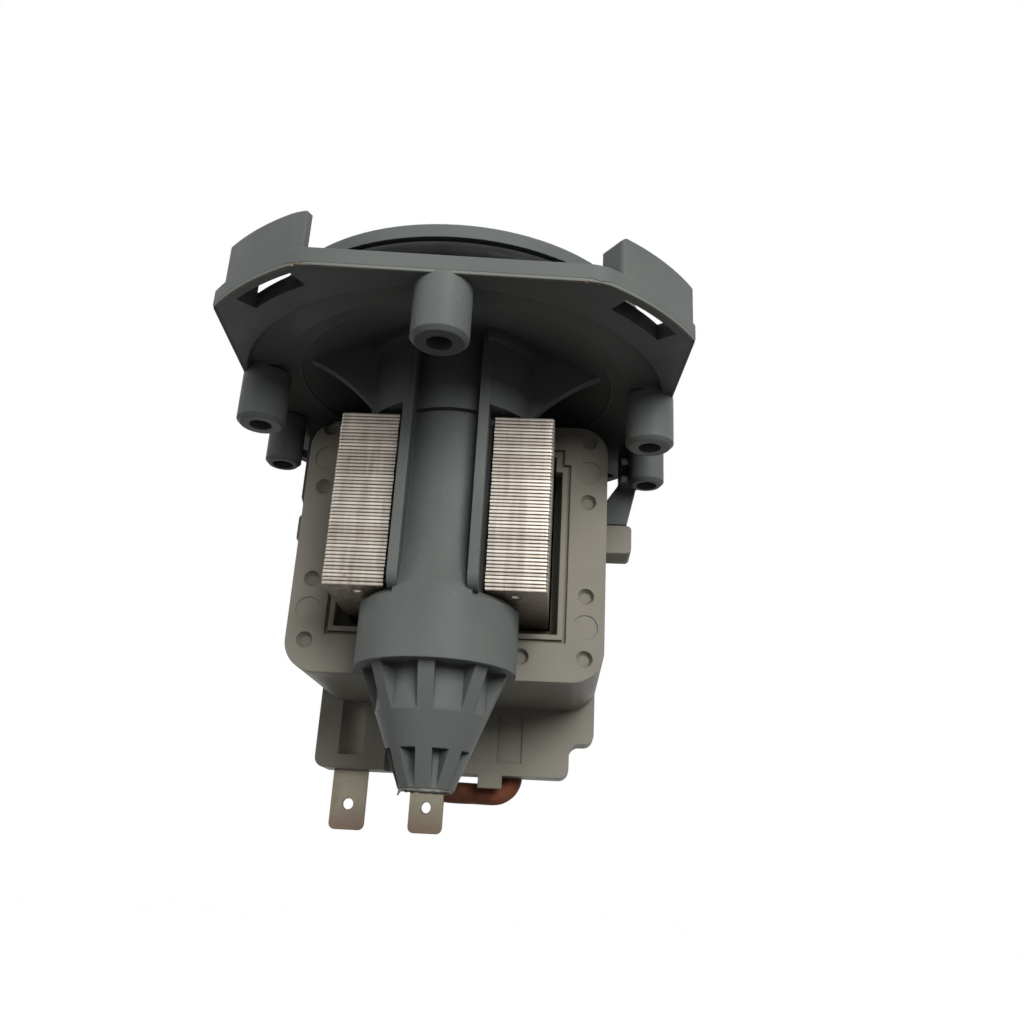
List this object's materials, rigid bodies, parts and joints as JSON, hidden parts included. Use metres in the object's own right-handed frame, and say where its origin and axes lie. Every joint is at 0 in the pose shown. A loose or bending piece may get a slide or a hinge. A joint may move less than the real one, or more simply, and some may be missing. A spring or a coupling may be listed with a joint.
{
  "type": "dishwasher drain pump",
  "caption": "Drain pump with a bayonet flange, sealed spigot, rotor tube with ribbed cone, laminated pole arms, coil box, flat terminals and an impeller with free play.",
  "frame": {"origin": "centre of the spigot's front rim, on the rotor axis", "axes": "+Z along the rotor axis out of the spigot, towards the sump; -Y is the side with the open pole arms and the front screw boss; +X to the right seen from there"},
  "size_m": [0.0707, 0.0799, 0.0876],
  "materials": {
    "housing_plastic": "satin moulded, cool mid grey",
    "seal_rubber": "black, slightly oily",
    "sheet_steel": "stamped sheet edges",
    "coil_plastic": "satin moulded, warm light grey",
    "bobbin_plastic": "satin",
    "copper_wire": "enamelled copper turns",
    "tab_metal": "tinned brass, dull",
    "lead_sleeve": "dull orange brown",
    "bush_bronze": "sintered",
    "cap_plastic": "satin",
    "washer_steel": "polished",
    "shaft_steel": "ground stainless",
    "carrier_plastic": "satin",
    "ferrite": "ground ferrite",
    "impeller_plastic": "satin"
  },
  "bodies": {
    "housing": {"rotor_housing": "housing_plastic", "spigot_o_ring": "seal_rubber", "stator_core": "sheet_steel", "coil_housing": "coil_plastic", "coil_rear_cover": "coil_plastic", "bobbin_left": "bobbin_plastic", "bobbin_right": "bobbin_plastic", "winding_left": "copper_wire", "winding_right": "copper_wire", "terminal_tab_left": "tab_metal", "terminal_tab_right": "tab_metal", "lead_loop": "lead_sleeve", "rear_bush": "bush_bronze", "rear_bush_rubber": "seal_rubber", "front_bush": "bush_bronze", "bearing_cap": "cap_plastic", "cap_o_ring": "seal_rubber", "thrust_washer_front": "washer_steel", "thrust_washer_rear": "washer_steel"},
    "rotor": {"shaft": "shaft_steel", "magnet_carrier": "carrier_plastic", "rotor_magnet": "ferrite", "drive_dog": "carrier_plastic"},
    "impeller": {"impeller": "impeller_plastic", "coupling_damper": "seal_rubber", "impeller_cap": "impeller_plastic"}
  },
  "joints": [
    {"name": "rotor_spin", "type": "hinge", "parent": "housing", "child": "rotor", "pos_m": [0, 0, 0], "axis": [0, 0, 1], "continuous": true},
    {"name": "impeller_free_play", "type": "hinge", "parent": "rotor", "child": "impeller", "pos_m": [0, 0, 0], "axis": [0, 0, 1], "range_deg": [-125, 125]}
  ]
}
